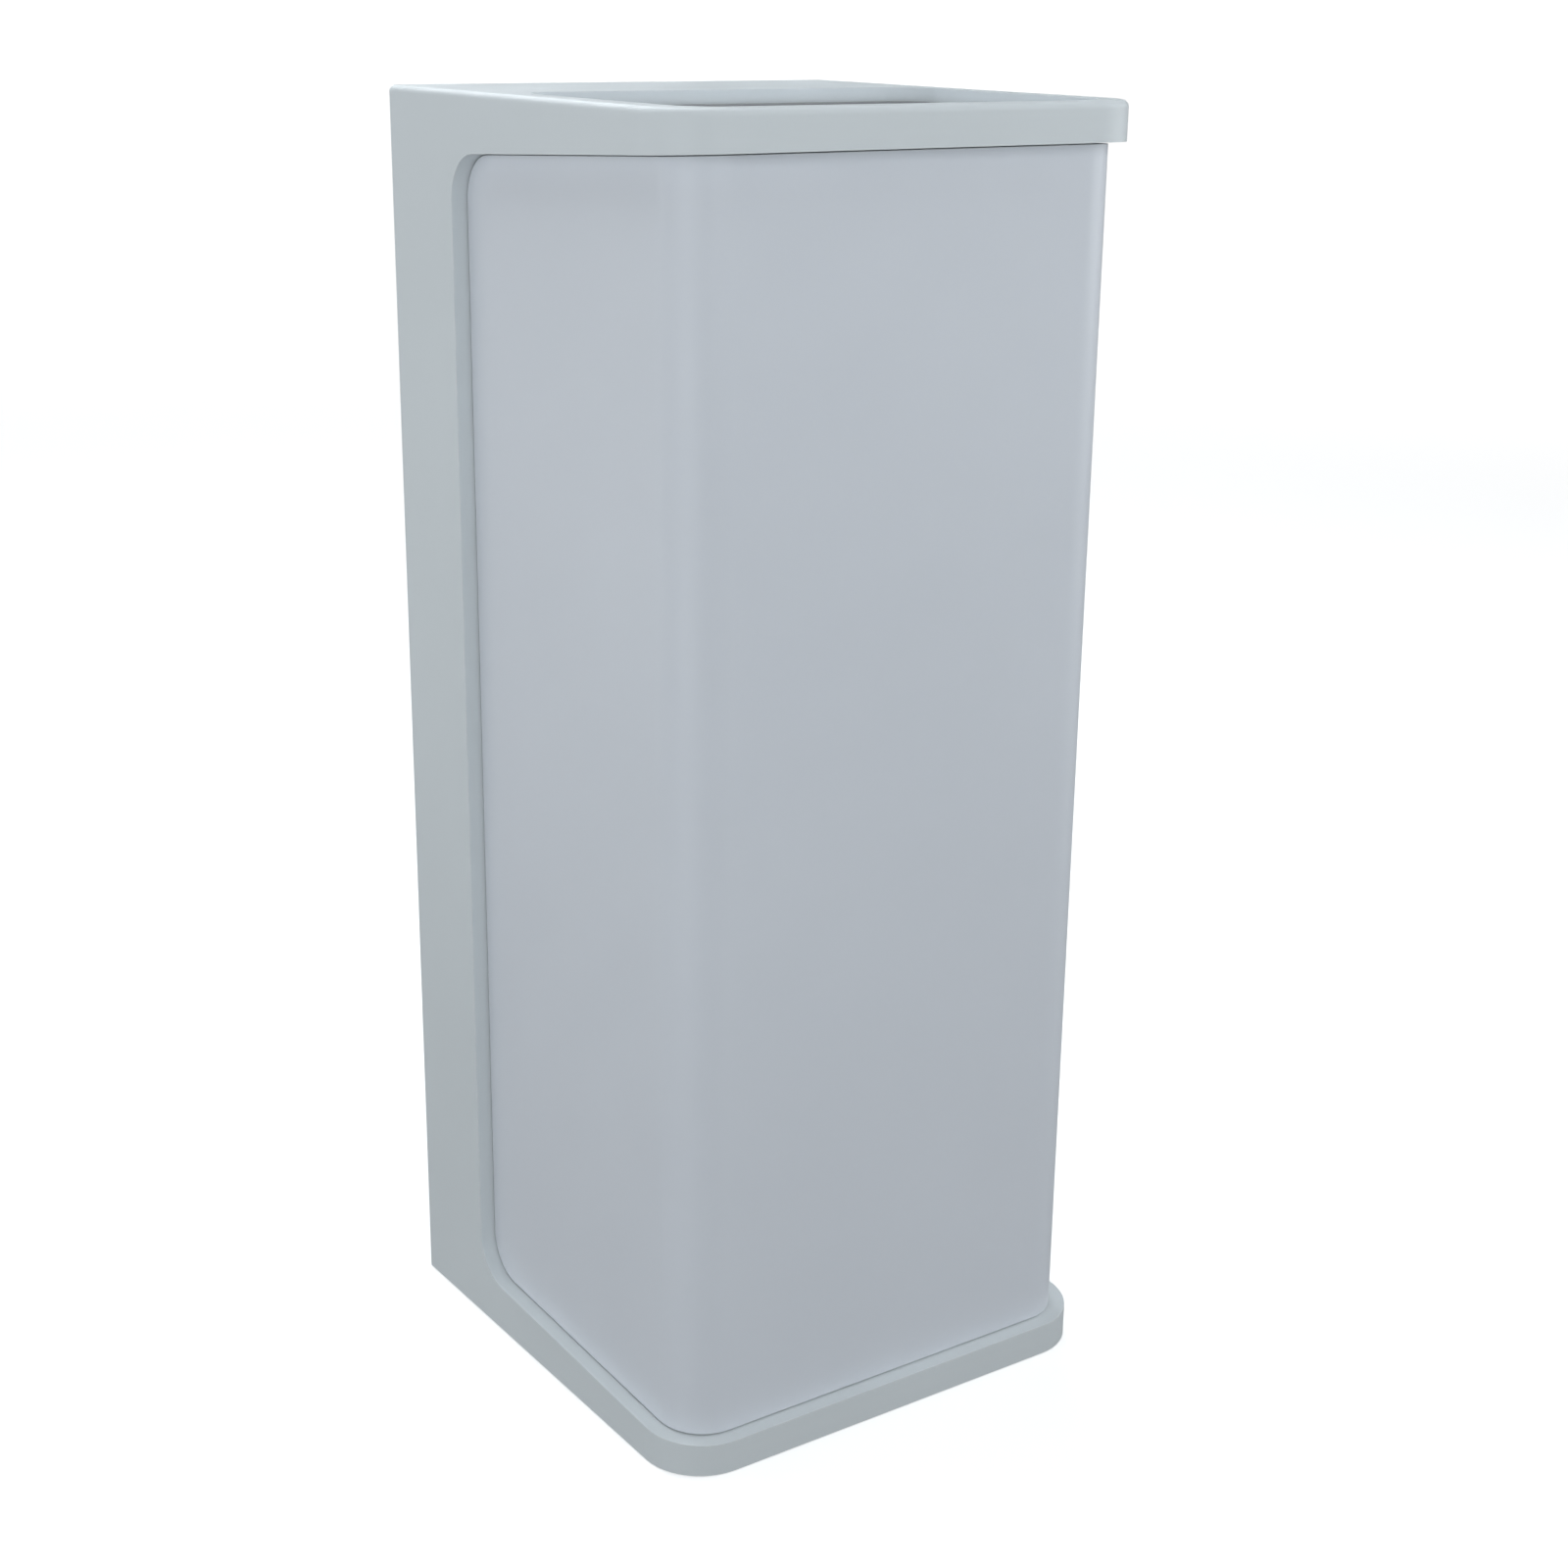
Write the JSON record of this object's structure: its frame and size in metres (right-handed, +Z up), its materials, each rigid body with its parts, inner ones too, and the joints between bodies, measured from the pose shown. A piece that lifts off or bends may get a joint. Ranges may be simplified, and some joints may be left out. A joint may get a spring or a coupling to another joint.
{
  "type": "security gate light unit",
  "caption": "Wall light unit with a C-shaped white frame, a wrap-round opal cover that pulls off forward and a recessed top lens.",
  "frame": {"origin": "middle of the underside, which it stands on when it is off the wall", "axes": "+Z up, -Y towards the front, +Y towards the wall, +X to the right seen from the front"},
  "size_m": [0.121, 0.123, 0.3],
  "materials": {
    "white_moulding": "satin moulded white",
    "opal": "satin opal",
    "seal_rubber": "matt grey",
    "zinc_plate": "galvanised",
    "screw_steel": "plated",
    "spring_steel": "bright spring strip",
    "tray_paint": "matt white reflector paint",
    "board_white": "white solder mask",
    "phosphor": "silicone with phosphor",
    "connector_plastic": "natural nylon",
    "driver_plastic": "fine spark texture",
    "terminal_plastic": "nylon",
    "lever_plastic": "moulded",
    "brass": "plain",
    "tinned": "tin plated copper",
    "lead_brown": "insulation",
    "lead_blue": "insulation",
    "lead_green": "insulation, yellow stripe",
    "lead_red": "insulation",
    "lead_black": "insulation",
    "circuit": "solder mask over glass fibre",
    "component": "sleeved and potted components"
  },
  "bodies": {
    "frame": {"housing_frame": "white_moulding", "top_lens": "opal", "lens_seal": "seal_rubber", "wall_plate": "zinc_plate", "wall_seal": "seal_rubber", "cable_grommet": "seal_rubber", "plate_inserts": "screw_steel", "body_screws": "screw_steel", "gear_tray": "tray_paint", "tray_screws": "screw_steel", "led_board": "board_white", "led_chips": "phosphor", "board_screws": "screw_steel", "board_connector": "connector_plastic", "led_grommet": "seal_rubber", "driver_case": "driver_plastic", "driver_lid": "driver_plastic", "driver_board": "circuit", "driver_parts": "component", "driver_screws": "screw_steel", "terminal_block": "terminal_plastic", "terminal_contacts": "brass", "cord_clamp": "terminal_plastic", "clamp_screws": "screw_steel", "earth_stud": "brass", "earth_nut": "brass", "ring_terminal": "tinned", "line_lead": "lead_brown", "neutral_lead": "lead_blue", "earth_lead": "lead_green", "plus_lead": "lead_red", "minus_lead": "lead_black", "cover_clips": "spring_steel"},
    "cover": {"opal_cover": "opal"},
    "line_lever": {"line_lever": "lever_plastic"},
    "neutral_lever": {"neutral_lever": "lever_plastic"},
    "earth_lever": {"earth_lever": "lever_plastic"}
  },
  "joints": [
    {"name": "cover_pull", "type": "slide", "parent": "frame", "child": "cover", "axis": [0, -1, 0], "range_m": [0, 0.11]},
    {"name": "line_lever_hinge", "type": "hinge", "parent": "frame", "child": "line_lever", "pos_m": [-0.008, 0.0488, 0.1], "axis": [-1, 0, 0], "range_deg": [0, 90]},
    {"name": "neutral_lever_hinge", "type": "hinge", "parent": "frame", "child": "neutral_lever", "pos_m": [0, 0.0488, 0.1], "axis": [-1, 0, 0], "range_deg": [0, 90]},
    {"name": "earth_lever_hinge", "type": "hinge", "parent": "frame", "child": "earth_lever", "pos_m": [0.008, 0.0488, 0.1], "axis": [-1, 0, 0], "range_deg": [0, 90]}
  ]
}
